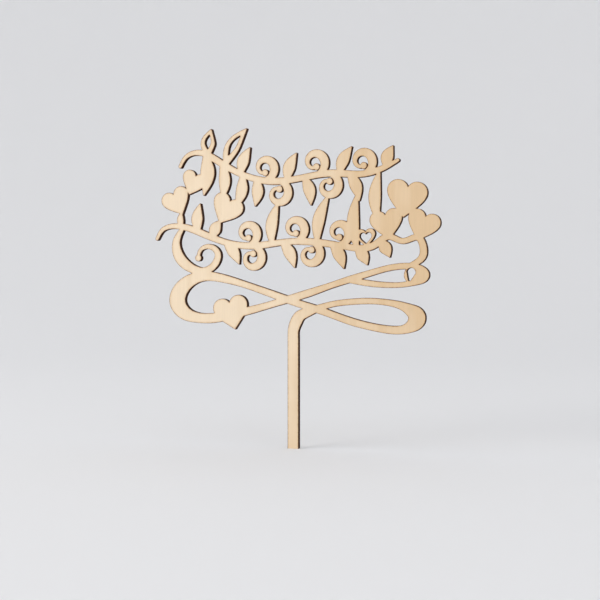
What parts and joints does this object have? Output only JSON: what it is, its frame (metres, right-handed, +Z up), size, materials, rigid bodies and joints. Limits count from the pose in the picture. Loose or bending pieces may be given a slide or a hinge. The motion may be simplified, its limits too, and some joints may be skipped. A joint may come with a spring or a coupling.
{
  "type": "cake topper",
  "caption": "Flat wooden cake topper on a stake: leafy scroll rows and hearts over a looped flourish, laser cut from plywood.",
  "frame": {"origin": "on the stake's axis, at the level of the cake's top, halfway through the sheet's thickness", "axes": "+X to the right along the sheet seen from the front, -Y out of the front face, +Z up along the stake"},
  "size_m": [0.1496, 0.003, 0.2062],
  "materials": {
    "face_veneer": "sanded, unfinished, scorched at the cut",
    "core_veneer": "sawn, charred at the cut",
    "glue_line": "cured resin"
  },
  "bodies": {
    "root": {"front_veneer": "face_veneer", "front_glue_line": "glue_line", "core_veneer": "core_veneer", "back_glue_line": "glue_line", "back_veneer": "face_veneer"}
  },
  "joints": []
}
